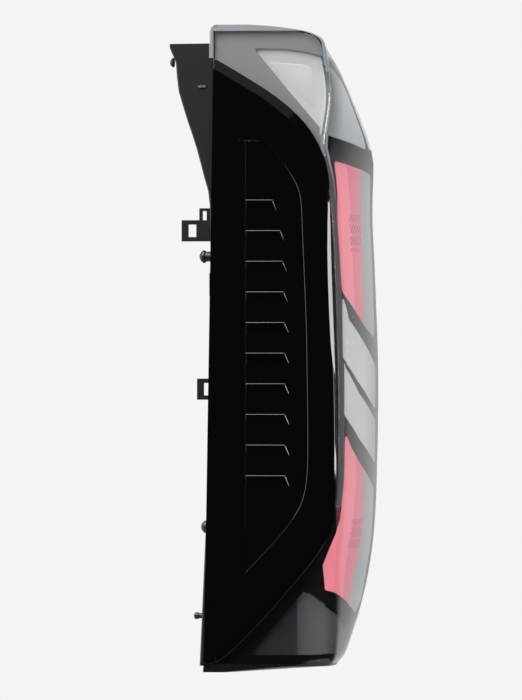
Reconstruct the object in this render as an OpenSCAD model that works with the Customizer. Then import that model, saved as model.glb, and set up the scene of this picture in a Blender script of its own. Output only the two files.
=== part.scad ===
// Tail light cluster for the left rear corner of a car, clipped and screwed to the body.
// X points to the rear of the car, Y points inboard and Z points up.
// The drawing frame starts at the foot of the side flange. The part's own origin is the
// middle of the two screws on the door jamb, and placed() moves every piece there.

/* [Overall size] */
// Height of the lamp
lamp_h = 500; // [470:5:530]
// Depth of the lamp from its side flange to its rear corner
lamp_d = 106; // [98:1:114]
// Width of the rear face
lamp_w = 150; // [138:1:162]
// How far the rear face bulges between its two edges
rear_bulge = 3; // [1:0.5:5]
// Radius of the crease between the side and the rear face
crease_r = 2.4; // [2:0.2:5]

/* [Lens and bezel] */
// Wall of the outer lens
lens_wall = 3; // [2.5:0.25:3.5]
// Thickness of the lens and the housing at their crown
crown_t = 1.6; // [1.2:0.1:2.4]
// Depth of the lens return on the inboard side
lens_return = 14; // [10:1:20]
// Gap between the lens and the bezel
bezel_gap = 0.4; // [0.3:0.1:0.8]
// Wall of the bezel
bezel_wall = 2; // [1.5:0.25:2.5]
// Gap round each insert in its window
window_gap = 0.3; // [0.2:0.1:0.6]
// Thickness of the light guides and diffusers
guide_t = 4; // [3:0.5:6]

/* [Side panel] */
// How far the side panel stands out from the lens
panel_t = 2.6; // [2:0.1:3.5]
// Width of the soft chamfer along the top edge of the panel
panel_chamfer = 7; // [4:0.5:8]
// Width of the crisp chamfer along the rear edge of the panel
panel_edge = 1.3; // [1:0.1:2]
// Width of the chamfer beside the upper light guide
panel_strip = 2.8; // [1.5:0.1:3.2]
// Depth of the recess that holds the louvres
recess_depth = 1.8; // [1.2:0.1:1.8]
// Width of the sloped wall round the recess
recess_slope = 1.3; // [1:0.1:2.5]
// Width of the sloped wall along the front of the recess
recess_front = 3.7; // [2:0.1:4]
// Number of louvres
louvre_count = 10; // [6:1:11]
// Distance from one louvre to the next
louvre_pitch = 23.6; // [21:0.2:25]
// How far the lip of a louvre stands out of the recess floor
louvre_lip = 1.7; // [1:0.1:2]
// Height of the slope below a louvre lip
louvre_drop = 9; // [6:0.5:14]
// Length of a louvre
louvre_len = 31; // [24:1:33]
// Width of the slanted end of a louvre
louvre_end = 1.6; // [0.8:0.1:2.4]

/* [Housing] */
// Wall of the housing
housing_wall = 2.5; // [2:0.25:3]
// Width of the bead that seals the lens to the housing
seal_w = 1; // [0.6:0.1:1.5]
// Spacing of the two jamb screws
screw_spacing = 250; // [220:5:265]
// Bore of the steel sleeves that take the jamb screws
sleeve_bore = 6.5; // [5.5:0.5:8]
// Wall of the steel sleeves
sleeve_wall = 2; // [1.5:0.25:2.5]
// Length of the steel sleeves
sleeve_len = 8; // [6:0.5:12]
// Diameter of the ball studs
stud_d = 10.6; // [9:0.2:12]
// Diameter of the locating pin's neck
pin_d = 4.2; // [3.5:0.1:5]
// Thickness of the clip tabs
tab_t = 3; // [2.5:0.25:4]
// Height of the clip tabs
tab_h = 16.4; // [15:0.2:20]
// Height of the window in a clip tab
tab_window_h = 9.6; // [8:0.2:11]
// Length of the window in a clip tab
tab_window_l = 6.6; // [5:0.2:8]

/* [Electrics] */
// Thickness of the circuit boards
board_t = 1.6; // [1:0.1:2]
// Side of an LED package
led_side = 3.5; // [2.8:0.1:5]
// Height of an LED package
led_t = 0.9; // [0.6:0.1:1.4]
// Width of the connector socket
socket_w = 26; // [22:1:30]
// Height of the connector socket
socket_h = 18; // [16:1:22]
// Wall of the connector socket
socket_wall = 1.8; // [1.5:0.1:2.5]

/* [Hidden] */
$fn = 48;

// The outlines below are drawn for a lamp 500 high, 106 deep and 150 wide, and stretch with it
drawn_h = 500;
drawn_d = 106;
drawn_w = 150;
kz = lamp_h / drawn_h;
kx = lamp_d / drawn_d;
ky = lamp_w / drawn_w;
full_h = 500 * kz;
full_d = 106 * kx;
full_w = 150 * ky;

// Stations are pairs of height and distance, and a fair curve runs through them
// Side flange, seen from the side
flange_st = [[0, -6.5], [52, -3], [98, -1.5], [145, 0], [190, 1.6], [500, 1.6]];
// Crease between the side and the rear face
crease_st = [[5, 91], [9, 93.5], [16, 94.5], [45, 95], [77, 95.5], [92, 98], [108, 102],
    [150, 105.5], [200, 106], [256, 105], [303, 103.5], [342, 101.5], [378, 98.5],
    [395, 94.5], [409, 91.6], [417, 93], [444, 97], [468, 94.5], [484.6, 92.2],
    [488.4, 90.6], [491, 87], [493, 82.7], [495.4, 73.3], [497.7, 57.5], [499.6, 34],
    [500, 14]];
// Inboard edge of the rear face, as its distance behind the flange line
inboard_st = [[5, 87], [14, 91], [45, 93.5], [75, 97], [110, 101], [150, 103], [230, 104],
    [307, 101.5], [353, 99.5], [391, 100.5], [422, 101], [453, 97.3], [468, 93.6],
    [484, 87.6], [488.4, 85.8], [491, 82.9], [493, 79], [495.4, 70.2], [497.7, 54.8],
    [499.6, 31.6], [500, 11.8]];
// Width of the rear face
width_st = [[0, 60], [14, 87], [29, 108], [45, 128], [75, 146], [110, 150], [391, 150],
    [399, 146], [410, 130], [425, 104], [440, 80], [455, 59], [470, 40], [478, 31], [484, 25], [488, 21],
    [494, 15.4], [499.6, 10]];
// How much the crease opens into a round corner towards the foot
corner_st = [[40, 29], [60, 26], [82, 16.5], [104, 7.5], [122, 2], [138, 0]];
// Front wall of the housing, which bulges forward near the top
front_st = [[0, -6.5], [145, 0], [190, 1.6], [364, 1.6], [383, -3], [407, -9.5], [426, -16],
    [437, -19.5], [449, -23], [464, -24.6], [474, -25.6], [478, -27.2], [482, -30]];

// Heights where the form changes
foot_h = 5 * kz;          // the bottom edge rises this much from the flange to the crease
floor_top = 6.8 * kz;     // top of the lens floor
roof_z = 485 * kz;        // roof of the housing's bulge, below the crown of the lamp
roof_t = 3;               // thickness of that roof
top_z = full_h - 0.4;     // top of the crown
crown_z = top_z - crown_t;
crown_share = 0.5;        // part of a wall's thickness that counts upwards in the crown
step_z = 0.2;             // height in which a wall closes
nose_r = 6;               // radius of the crown's front corner
front_slant = 6;          // the housing's front wall leans forward this much inboard
seal_inset = 0.8;         // the housing stands back this much from the lens's side face
rim_w = 2.2;              // width of the housing rim that shows beside the lens

function mix(a, b, t) = a + (b - a) * t;
function scaled(st, k) = [for (s = st) [s[0] * kz, s[1] * k]];
function slope(st, j) =
    let (a = max(j - 1, 0), b = min(j + 1, len(st) - 1))
    (st[b][1] - st[a][1]) / (st[b][0] - st[a][0]);
function fair(st, v) =
    v <= st[0][0] ? st[0][1]
    : v >= st[len(st) - 1][0] ? st[len(st) - 1][1]
    : let (j = max([for (n = [0 : len(st) - 2]) if (st[n][0] <= v) n]),
           h = st[j + 1][0] - st[j][0],
           t = (v - st[j][0]) / h)
      (2 * t^3 - 3 * t^2 + 1) * st[j][1] + (t^3 - 2 * t^2 + t) * h * slope(st, j)
      + (3 * t^2 - 2 * t^3) * st[j + 1][1] + (t^3 - t^2) * h * slope(st, j + 1);

flange = scaled(flange_st, 1);
crease = scaled(crease_st, kx);
inboard = scaled(inboard_st, kx);
width = scaled(width_st, ky);
front = scaled(front_st, 1);
corner = scaled(corner_st, 1);

// The lamp's outer form at height z
function flange_x(z) =
    let (h = min(max(z - (full_h - nose_r), 0), nose_r))
    fair(flange, z) + nose_r - sqrt(nose_r^2 - h^2);
function footed(x, z) = z < foot_h ? mix(flange_x(z) + 18, x, z / foot_h) : x;
function crease_x(z) = footed(fair(crease, max(z, foot_h)), z);
function inboard_x(z) = footed(fair(inboard, max(z, foot_h)), z);
function rear_w(z) = fair(width, z);
function crease_round(z) =
    min(crease_r + fair(corner, z), rear_w(z) / 2, (crease_x(z) - flange_x(z)) / 3);
function slant(z) =
    let (rate = (fair(width, z + 2) - fair(width, z - 2)) / 4)
    min(sqrt(1 + rate^2), 1.9);
function rear_x(y, z) =
    let (w = rear_w(z), t = max(min(y / w, 1), 0))
    mix(crease_x(z), inboard_x(z), t) + 4 * rear_bulge * (w / full_w) * t * (1 - t);
// The rear face a distance d inside, which also lies below the sloping crown
function skin_x(y, z, d) =
    min(rear_x(y, z) - d, rear_x(y, min(z + crown_share * d, top_z)));
function front_x(z) = fair(front, z);
function wall_x(y, z) = front_x(z) - front_slant * y / full_w;

// Plan of the skin at height z, a distance d inside the outer form, from x0 on the side
// round the crease and the rear face to the end of the return on the inboard side. The arc at
// the crease ends where it runs into the rear face without a kink
arc_n = 6;
rear_n = 8;
function lean(y, z, d) =
    max(min(atan((skin_x(y + 1, z, d) - skin_x(y - 1, z, d)) / 2), 20), 0);
function plan(z, d, x0, ret) =
    let (w = rear_w(z) - d * slant(z),
         r = crease_round(z),
         ri = max(r - d, 0.4),
         yc = max(r, d + ri),
         b = lean(yc, z, d),
         y0 = yc - ri * sin(b),
         xc = skin_x(y0, z, d) - ri * cos(b))
    concat(
        [[x0, d]],
        [for (i = [0 : arc_n])
            let (a = -90 + (90 - b) * i / arc_n)
            [xc + ri * cos(a), yc + ri * sin(a)]],
        [for (i = [1 : rear_n])
            let (y = mix(y0, w, i / rear_n))
            [skin_x(y, z, d), y]],
        [[rear_x(w, z) - ret, w]]);
function reverse(l) = [for (i = [len(l) - 1 : -1 : 0]) l[i]];
// The same plan closed by a slightly bowed line between its two ends
chord_bow = 0.004;
function chord(l) =
    let (n = len(l) - 1, a = l[0], b = l[n], side = [b[1] - a[1], a[0] - b[0]])
    [for (i = [0 : n])
        let (t = mix(0.01, 0.99, i / n))
        mix(a, b, t) + side * chord_bow * 4 * t * (1 - t)];

// Solid between plans that hold the same number of points, each given as [height, points]
module loft(sections) {
    n = len(sections[0][1]);
    m = len(sections);
    polyhedron(
        points = [for (s = sections) for (p = s[1]) [p[0], p[1], s[0]]],
        faces = concat(
            [[for (i = [0 : n - 1]) i]],
            [for (k = [0 : m - 2]) for (i = [0 : n - 1])
                let (j = (i + 1) % n)
                each [[k * n + i, (k + 1) * n + i, (k + 1) * n + j],
                      [k * n + i, (k + 1) * n + j, k * n + j]]],
            [[for (i = [n - 1 : -1 : 0]) (m - 1) * n + i]]));
}

// Heights of the plans, close together where the outline turns quickly
function steps(a, b, n) = [for (i = [0 : n]) mix(a, b, i / n)];
low_z = [for (z = [0.3, 1.6, 3.2, 5, 6.2]) z * kz];
body_z = concat(
    [floor_top + step_z, 10.5 * kz, 14 * kz],
    steps(18 * kz, roof_z - roof_t - step_z, 42),
    [roof_z - roof_t, roof_z - roof_t / 2, roof_z, roof_z + step_z],
    steps(roof_z + roof_t / 2, crown_z - step_z, 7));
crown_steps = steps(crown_z, top_z, 2);

// Outer lens: one clear moulding that wraps the side and the rear face
function lens_front(z) = flange_x(z) + rim_w + seal_w;
function lens_section(z, closed) =
    let (outer = plan(z, 0, lens_front(z), lens_return),
         inner = plan(z, lens_wall, lens_front(z), lens_return))
    [z, concat(outer, reverse(closed ? chord(outer) : inner))];
module outer_lens() {
    color("#9aa0a4", 0.45)
    placed()
    loft(concat(
        [for (z = low_z) lens_section(z, true)],
        [lens_section(floor_top, true)],
        [for (z = body_z) lens_section(z, false)],
        [for (z = crown_steps) lens_section(z, true)]));
}

// Outlines are drawn as corner points and faired or rounded here
function unit(v) = v / norm(v);
// Rounds every corner of a closed outline with an arc of radius r
function rounded(pts, r, n = 4) =
    [for (i = [0 : len(pts) - 1])
        let (p = pts[i],
             a = unit(pts[(i + len(pts) - 1) % len(pts)] - p),
             b = unit(pts[(i + 1) % len(pts)] - p),
             half = acos(max(min(a * b, 1), -1)) / 2,
             reach = min(r / tan(half),
                 norm(pts[(i + len(pts) - 1) % len(pts)] - p) * 0.45,
                 norm(pts[(i + 1) % len(pts)] - p) * 0.45),
             s = p + a * reach,
             e = p + b * reach)
        each [for (k = [0 : n])
            let (t = k / n)
            s * (1 - t)^2 + p * 2 * t * (1 - t) + e * t^2]];
// Curve through open points, with n steps between neighbours
function curve(pts, n) =
    [for (i = [0 : len(pts) - 2]) for (k = [0 : n - (i == len(pts) - 2 ? 0 : 1)])
        let (p0 = pts[max(i - 1, 0)], p1 = pts[i], p2 = pts[i + 1],
             p3 = pts[min(i + 2, len(pts) - 1)], t = k / n)
        0.5 * (2 * p1 + (p2 - p0) * t + (2 * p0 - 5 * p1 + 4 * p2 - p3) * t^2
            + (3 * p1 - p0 - 3 * p2 + p3) * t^3)];
function side_pts(pts) = [for (p = pts) [p[0] * kx, p[1] * kz]];
function rear_pts(pts) = [for (p = pts) [p[0] * ky, p[1] * kz]];
// Normal of a closed outline at point i, pointing to its inside for an outline drawn clockwise
function inward(pts, i) =
    let (n = len(pts),
         d = unit(pts[(i + 1) % n] - pts[(i + n - 1) % n]))
    [d[1], -d[0]];
function shrunk(pts, by) = [for (i = [0 : len(pts) - 1]) pts[i] + inward(pts, i) * by];

// Side panel outline, clockwise seen from outside the car, from the top of the flange
panel_top = curve(side_pts([[5, 474], [26, 462], [55, 443.5], [77.5, 423], [91, 400.5],
    [95.8, 382], [97, 362]]), 4);
panel_rear = curve(side_pts([[97, 362], [98.5, 303], [101, 237], [102, 190], [102, 149]]), 3);
panel_low = curve(side_pts([[102, 149], [99.5, 118], [91.5, 98], [79, 81], [62, 61],
    [43, 40], [22, 19], [8, 8]]), 4);
panel_inset = 0.4;        // distance from the front edge of the lens to the panel
panel_flange = [for (z = [6.5, 52, 98, 145, 190]) [lens_front(z * kz) + panel_inset, z * kz]];
function tail(l) = [for (i = [1 : len(l) - 1]) l[i]];
panel_out = concat(panel_top, tail(panel_rear), tail(panel_low), panel_flange);
panel_last = len(panel_out) - 1;
// Width of the chamfer at point i: soft at the top and the foot, crisp along the rear
strip = scaled([[149, 0], [236, 0], [256, 1], [332, 1], [362, 0]], 1);
function panel_by(i) =
    let (a = len(panel_top) - 1, b = a + len(panel_rear) - 1, c = b + len(panel_low) - 1)
    i <= a ? mix(panel_chamfer, panel_edge, max(0, i / a - 0.55) / 0.45)
    : i <= b ? mix(panel_edge, panel_strip, fair(strip, panel_out[i][1]))
    : i <= c ? mix(panel_edge, panel_chamfer, (i - b) / (c - b))
    : panel_inset;
panel_front = [for (i = [0 : panel_last])
    let (by = panel_by(i))
    i == 0 ? panel_out[i] + [panel_inset, -by]
    : i > panel_last - len(panel_flange) ? panel_out[i] + [by, by / 2]
    : panel_out[i] + inward(panel_out, i) * by];

// Solid between outlines in the side plane, each given as [distance outboard, points]
module side_loft(sections) {
    rotate([90, 0, 0])
    loft([for (s = sections) [s[0], reverse(s[1])]]);
}

// Recess outline, clockwise, from its upper front corner
recess_out = concat(
    curve(side_pts([[26.8, 410.5], [38.5, 410.5], [46, 408], [58, 396], [68.5, 381],
        [73.5, 369.5], [75, 357]]), 3),
    tail(curve(side_pts([[75, 357], [77, 313], [79, 257], [80, 187]]), 3)),
    tail(curve(side_pts([[80, 187], [79.5, 155], [76, 134], [67, 117], [51, 98], [26.8, 73]]), 3)));
recess_last = len(recess_out) - 1;
recess_in = [for (i = [0 : recess_last])
    i == 0 ? recess_out[i] + [recess_front, -recess_slope]
    : i == recess_last ? recess_out[i] + [recess_front, recess_front + 1.4 * recess_slope]
    : recess_out[i] + inward(recess_out, i) * recess_slope];
louvre_top = 364.6 * kz;
louvre_x = 30.8 * kx;
first_louvre = 0.68;      // the top louvre is this much of a full one
louvre_growth = 0.12;     // the second louvre falls this much short of the last one
lip_h = 0.8;              // height of a louvre's lip
function louvre_share(i) = i == 0 ? first_louvre : 1 - louvre_growth / 2^(i - 1);
module louvre(len) {
    // The lip is at the top, and the slopes below it and beside it run into the recess floor
    base = panel_t - recess_depth;
    side_loft([
        [base - 0.2, [[louvre_x, 0], [louvre_x + len + louvre_end, 0],
            [louvre_x + len + 2 * louvre_end, -louvre_drop], [louvre_x, -louvre_drop]]],
        [base + louvre_lip, [[louvre_x, 0], [louvre_x + len, 0],
            [louvre_x + len, -lip_h], [louvre_x, -lip_h]]]]);
}
module side_louvre_panel() {
    color("#050506")
    placed()
    union() {
        difference() {
            side_loft([[0, panel_out], [0.9, panel_out], [panel_t, panel_front]]);
            side_loft([[panel_t - recess_depth, recess_in], [panel_t + 0.1, recess_out]]);
        }
        for (i = [0 : louvre_count - 1])
            translate([0, 0, louvre_top - i * louvre_pitch])
            louvre(louvre_len * louvre_share(i));
    }
}

// Windows of the rear face, drawn as width and height, anticlockwise from behind
window_r = 5;
big_r = 9;
sharp_r = 2;
upper_window = rounded(rear_pts([[19, 394.5], [9, 345], [12, 293.5], [83, 268], [136, 256.5],
    [138, 385.5], [100, 389]]), big_r);
upper_split = rear_pts([[94, 404], [92, 364], [87, 326], [86, 240]]);
bar_window_a = rounded(rear_pts([[12, 294], [10, 242.5], [54, 225], [104, 210], [136, 201.5],
    [136, 237], [32, 272]]), window_r);
bar_window_b = rounded(rear_pts([[13, 241], [11, 198.5], [63, 179], [138, 160], [136, 194],
    [62, 215], [18, 235]]), window_r);
lower_window = rounded(rear_pts([[12, 187], [12, 145], [6.5, 104], [7.5, 65], [58, 55],
    [104, 44.5], [130, 54], [141, 95], [134, 142], [64, 162], [35, 173]]), big_r);
lower_split = rear_pts([[66, 196], [82, 141], [90, 109], [89, 90], [79, 69], [58, 36]]);
// Corner windows, each with a part on the side face and a part on the rear face
top_side = rounded(side_pts([[35.5, 481.5], [65, 446.5], [87.5, 420.5], [120, 416], [120, 470],
    [92, 474.5], [77, 478.5], [59, 481]]), sharp_r);
top_rear = rounded(rear_pts([[-20, 473], [-20, 417], [36, 412], [71, 409], [125, 404],
    [105, 419.5], [77, 436.5], [45, 455.5], [12, 467.5]]), window_r);
low_side = rounded(side_pts([[77, 65], [32, 13.5], [67, 14], [120, 14.5], [120, 32],
    [92, 50.5], [83, 59.5]]), sharp_r);
low_rear = rounded(rear_pts([[-20, 64], [-20, 14.4], [50, 15], [66, 21], [71, 32], [48, 39.5],
    [24, 47.5], [8, 57]]), window_r);
// How far each window cut reaches forward from the deepest point of the rear face
window_back = 17 * kx;
top_back = 18.5 * kx;
low_back = 27 * kx;
top_deep = 7;             // how far the side cuts of the corner windows reach inboard
low_deep = 17;
// Prism of a rear outline, from a little in front of the crease to behind the lamp
module rear_prism(pts, back) {
    translate([full_d - back, 0, 0])
    rotate([90, 0, 90])
    linear_extrude(back + 20)
    polygon(pts);
}
module side_prism(pts, deep) {
    translate([0, deep, 0])
    rotate([90, 0, 0])
    linear_extrude(deep + 20)
    polygon(pts);
}
// Half of the rear face on one side of a split line
module split_side(line, inboard_half) {
    far = inboard_half ? 200 : -60;
    shift = inboard_half ? window_gap / 2 : -window_gap / 2;
    translate([0, shift, 0])
    rotate([90, 0, 90])
    linear_extrude(full_d + 40)
    polygon(concat([[far, line[0][1]]], line, [[far, line[len(line) - 1][1]]]));
}

// Curved layer between two depths below the outer form, over a range of heights
module layer(d0, d1, z0, z1, front_gap, ret) {
    loft([for (z = body_z)
        if (z >= z0 && z <= z1)
        let (a = plan(z, d0, lens_front(z) + front_gap, ret),
             b = plan(z, d1, lens_front(z) + front_gap, ret))
        [z, concat(a, reverse(b))]]);
}

bezel_d = lens_wall + bezel_gap;
guide_d = bezel_d + 0.2;
bezel_top = top_z - crown_share * (bezel_d + bezel_wall) - step_z;
module inner_bezel() {
    color("#1b1c1e")
    placed()
    difference() {
        layer(bezel_d, bezel_d + bezel_wall, floor_top, bezel_top, 0.4, lens_return + 4);
        for (w = [upper_window, bar_window_a, bar_window_b, lower_window])
            rear_prism(w, window_back);
        side_prism(top_side, top_deep);
        rear_prism(top_rear, top_back);
        side_prism(low_side, low_deep);
        rear_prism(low_rear, low_back);
    }
}

// Insert that fills one rear window, held back by the window gap
module insert(pts, z0, z1) {
    intersection() {
        layer(guide_d, guide_d + guide_t, z0 * kz, z1 * kz, 20, lens_return);
        rear_prism(shrunk(reverse(pts), window_gap), window_back);
    }
}
module upper_light_guide() {
    color("#d8394a")
    placed()
    intersection() {
        insert(upper_window, 240, 410);
        split_side(upper_split, false);
    }
}
module upper_side_diffuser() {
    color("#b9bdc0")
    placed()
    intersection() {
        insert(upper_window, 240, 410);
        split_side(upper_split, true);
    }
}
module lower_light_guide() {
    color("#d8394a")
    placed()
    intersection() {
        insert(lower_window, 28, 204);
        split_side(lower_split, false);
    }
}
module lower_side_diffuser() {
    color("#b9bdc0")
    placed()
    intersection() {
        insert(lower_window, 28, 204);
        split_side(lower_split, true);
    }
}
module upper_bar_diffuser() {
    color("#d5d7d8")
    placed()
    insert(bar_window_a, 188, 306);
}
module lower_bar_diffuser() {
    color("#d5d7d8")
    placed()
    insert(bar_window_b, 146, 256);
}

// Reflectors behind the two corner windows, with a flange that bears on the bezel
reflector_d = bezel_d + bezel_wall + 0.2;
reflector_t = 1.6;
flange_over = 3;
reflector_back = 4;       // how much further than the windows the reflectors' cuts reach
reflector_deep = 7;
module corner_reflector(side, rear, z0, z1, deep, back) {
    intersection() {
        layer(reflector_d, reflector_d + reflector_t, z0 * kz, z1 * kz, 24,
            reflector_d + reflector_t + 1);
        union() {
            side_prism(shrunk(reverse(side), -flange_over), deep + reflector_deep);
            rear_prism(shrunk(reverse(rear), -flange_over), back + reflector_back);
        }
    }
}
module upper_corner_reflector() {
    color("#e6e8e9")
    placed()
    corner_reflector(top_side, top_rear, 396, 490, top_deep, top_back);
}
module lower_corner_reflector() {
    color("#6a6d70")
    placed()
    corner_reflector(low_side, low_rear, 9, 72, low_deep, low_back);
}

// Housing: black moulded shell in front of the lens
seat_gap = 0.3;           // gap between the front wall and what is seated on it
function housing_end(z) = rear_x(rear_w(z), z) - lens_return - seal_w;
// Front wall a distance d inside, which stands back to the flange in the crown
function shell_x(y, z, d) =
    let (in_crown = z > roof_z - (d > 0 ? roof_t : 0) + (d > 0 ? -1 : 1) * step_z / 2)
    (in_crown ? flange_x(z) : front_x(z)) - front_slant * y / full_w + d;
function housing_plan(z, d) =
    let (w = rear_w(z) - d * slant(z),
         y0 = seal_inset + d,
         rim = flange_x(z) + rim_w,
         xf = min(shell_x(0, z, d), rim - 0.3),
         r = min(8, w / 4),
         mid = (w - r + y0 + 3) / 2)
    concat(
        [[housing_end(z), w]],
        [for (i = [0 : 3])
            let (a = 90 + 30 * i)
            [shell_x(w - r, z, d) + r + r * cos(a), w - r + r * sin(a)]],
        [[shell_x(mid, z, d), mid]],
        [[xf, y0 + 1.2], [min(xf + 1.2, rim - 0.1), y0], [rim, y0]]);
function housing_section(z, closed) =
    let (outer = housing_plan(z, 0),
         inner = housing_plan(z, housing_wall))
    [z, concat(outer, reverse(closed ? chord(outer) : inner))];
post_x = 58 * kx;
post_d = 9;
post_yz = [for (p = [[30, 72], [112, 72], [30, 372], [112, 372], [70, 222]])
    [p[0] * ky, p[1] * kz]];
// Cylinder along X between two distances
module bar_x(x0, x1, y, z, d) {
    translate([x0, y, z])
    rotate([0, 90, 0])
    cylinder(d = d, h = x1 - x0);
}
jamb_y = full_w + 11;
jamb_x = 34;
jamb_z = full_h / 2;
ear_d = sleeve_bore + 2 * sleeve_wall + 6;
ear_t = 6;
module at_jamb_screws() {
    for (s = [-1, 1])
        translate([jamb_x, jamb_y, jamb_z + s * screw_spacing / 2])
        children();
}
// Ear at a height, which reaches from its screw to the inboard wall
module ear(z) {
    reach = jamb_y - min(rear_w(z - ear_d / 2), rear_w(z + ear_d / 2)) + housing_wall / 2;
    translate([jamb_x, jamb_y, z]) {
        rotate([0, -90, 0])
        cylinder(d = ear_d, h = ear_t);
        translate([-ear_t, -reach, -ear_d / 2])
        cube([ear_t, reach, ear_d]);
    }
}
tab_front = -22;
tab_y = [10, 66];
tab_z = [340.8 * kz, 218.4 * kz];
module tab(y, z) {
    back = wall_x(y, z) + 0.6;
    difference() {
        translate([tab_front, y - tab_t / 2, z - tab_h / 2])
        cube([back - tab_front, tab_t, tab_h]);
        translate([tab_front + 5, y - tab_t, z - tab_window_h / 2])
        cube([tab_window_l, 2 * tab_t, tab_window_h]);
    }
}
hook_bar = 2.2;
hook_l = 8;
hook_h = 9.4;
module hook(y, z) {
    // Open hook for the harness above the upper tab
    translate([-hook_l, y - tab_t / 2, z])
    difference() {
        cube([hook_l + 1.4, tab_t, hook_h]);
        translate([hook_bar, -1, -1])
        cube([hook_l - 2 * hook_bar, tab_t + 2, hook_h - hook_bar + 1]);
    }
}
gasket_w = 7;
gasket_end = 134 * ky;    // inboard edge of the foam ring
gasket_in = gasket_end - gasket_w;
socket_flange = 3;        // how far the socket's flange stands out
socket_gap = 3;           // clearance from that flange to the foam
socket_y = gasket_in - socket_gap - socket_flange - socket_w / 2;
socket_z = 300 * kz;
socket_front = -19;
module socket_hole(grow) {
    translate([-40, socket_y - socket_w / 2 - grow, socket_z - socket_h / 2 - grow])
    cube([60, socket_w + 2 * grow, socket_h + 2 * grow]);
}
vent_yz = [[58 * ky, 300 * kz], [58 * ky, 112 * kz]];
vent_d = 14;
vent_bore = 6;
module housing() {
    color("#17181a")
    placed()
    difference() {
        union() {
            loft(concat(
                [housing_section(foot_h + 0.3, true), housing_section(floor_top, true)],
                [for (z = body_z) housing_section(z, false)],
                [for (z = crown_steps) housing_section(z, true)]));
            for (s = [-1, 1])
                ear(jamb_z + s * screw_spacing / 2);
            tab(tab_y[0], tab_z[0]);
            tab(tab_y[1], tab_z[1]);
            hook(tab_y[0], tab_z[0] + tab_h / 2 - 0.2);
            for (p = post_yz)
                bar_x(wall_x(p[0], p[1]) + 1, post_x, p[0], p[1], post_d);
            for (y = [4, driver_w - 4]) for (z = [4, driver_h - 4])
                bar_x(wall_x(driver_y + y, driver_z + z) + 1, driver_x,
                    driver_y + y, driver_z + z, 6);
        }
        at_jamb_screws()
            translate([-ear_t - 1, 0, 0])
            rotate([0, 90, 0])
            cylinder(d = sleeve_bore + 2 * sleeve_wall, h = ear_t + 2);
        socket_hole(0.2);
        for (v = vent_yz)
            bar_x(-12, 12, v[0], v[1], vent_bore);
    }
}

// Bead that bonds the lens to the housing: a strand beside the side face and one inboard
bead_gap = 0.05;
bead_h = 1.8;
module strand(inboard_side) {
    loft([for (z = body_z)
        let (x = (inboard_side ? housing_end(z) : flange_x(z) + rim_w) + bead_gap,
             y = inboard_side ? rear_w(z) - bead_h - seal_inset : seal_inset,
             w = seal_w - 2 * bead_gap)
        [z, [[x, y], [x + w, y], [x + w, y + bead_h], [x, y + bead_h]]]]);
}
module lens_seal() {
    color("#0c0c0d")
    placed() {
        strand(false);
        strand(true);
    }
}

// Carrier plate and boards, which stand on the posts of the housing
head_t = 2.2;
carrier_t = 2.5;
board_x = post_x + carrier_t;
led_x = board_x + board_t;
carrier_pts = rear_pts([[22, 60], [124, 60], [124, 384], [22, 384]]);
module slab_x(x0, t, pts, r) {
    translate([x0, 0, 0])
    rotate([90, 0, 90])
    linear_extrude(t)
    polygon(rounded(pts, r));
}
screw_bore = 3.2;
// Screws that hold the upper and the lower board to the carrier
board_yz = [for (p = [[30, 300], [114, 356], [30, 150], [114, 150]]) [p[0] * ky, p[1] * kz]];
module screw_bores() {
    for (p = concat(post_yz, board_yz))
        bar_x(post_x - 1, led_x + 1, p[0], p[1], screw_bore);
}
module board_carrier() {
    color("#3a3d40")
    placed()
    difference() {
        slab_x(post_x, carrier_t, carrier_pts, 8);
        for (z = [100, 304])
            slab_x(post_x - 1, carrier_t + 2, rear_pts([[52, z], [92, z], [92, z + 42], [52, z + 42]]),
                4);
        screw_bores();
    }
}
upper_board = rear_pts([[24, 284], [108, 262], [120, 262], [120, 366], [24, 366]]);
bar_board = rear_pts([[24, 176], [60, 164], [120, 164], [120, 256], [108, 256], [24, 278]]);
lower_board = rear_pts([[24, 80], [120, 80], [120, 158], [58, 158], [24, 170]]);
module board(pts) {
    difference() {
        slab_x(board_x, board_t, pts, 2);
        screw_bores();
    }
}
module upper_led_board() {
    color("#1f5a38")
    placed()
    board(upper_board);
}
module bar_led_board() {
    color("#1f5a38")
    placed()
    board(bar_board);
}
module lower_led_board() {
    color("#1f5a38")
    placed()
    board(lower_board);
}
led_step = 17;
module led_grid(y0, nz, z0, ny) {
    for (i = [0 : ny - 1]) for (k = [0 : nz - 1])
        translate([led_x, (y0 + i * led_step) * ky - led_side / 2, (z0 + k * led_step) * kz])
        cube([led_t, led_side, led_side]);
}
module upper_leds() {
    color("#e8d870")
    placed()
    led_grid(38, 4, 292, 5);
}
module bar_leds() {
    color("#f2f2e6")
    placed()
    led_grid(45, 3, 186, 5);
}
module lower_leds() {
    color("#e8d870")
    placed()
    led_grid(38, 4, 92, 5);
}
head_d = 6.5;
module board_screws() {
    color("#b8bcc0")
    placed()
    for (p = concat(post_yz, board_yz)) {
        on_board = p[1] > 80 * kz && p[1] < 366 * kz;
        seat = on_board ? led_x : board_x;
        bar_x(seat, seat + head_t, p[0], p[1], head_d);
        bar_x(post_x + 0.1, seat + 1, p[0], p[1], screw_bore - 0.4);
    }
}

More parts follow.
